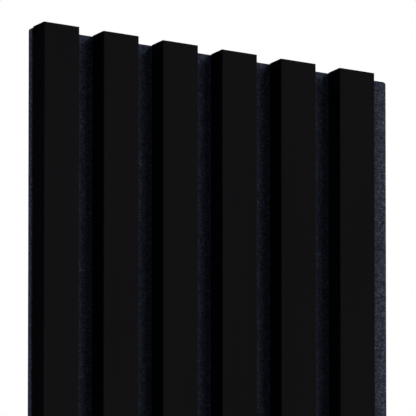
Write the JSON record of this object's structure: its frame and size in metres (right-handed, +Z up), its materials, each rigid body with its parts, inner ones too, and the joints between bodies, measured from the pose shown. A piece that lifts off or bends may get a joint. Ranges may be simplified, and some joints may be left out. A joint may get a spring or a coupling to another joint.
{
  "type": "slat wall panel",
  "caption": "Tall wall panel of parallel matt black slats bonded to a dark felt sheet, whose bare edge meets the next panel so that the slats run on in step.",
  "frame": {"origin": "centre of the felt's back, the face that lies on the wall", "axes": "+Z up along the slats, +Y into the wall, +X to the right as seen from the room; the slats face the room along -Y"},
  "size_m": [0.3, 0.021, 2.4],
  "materials": {
    "slat_wrap": "matt black foil wrapped on MDF",
    "felt": "needle-punched polyester felt, charcoal blue, mottled"
  },
  "bodies": {
    "root": {"felt_backing": "felt", "slat_1": "slat_wrap", "slat_2": "slat_wrap", "slat_3": "slat_wrap", "slat_4": "slat_wrap", "slat_5": "slat_wrap", "slat_6": "slat_wrap"}
  },
  "joints": []
}
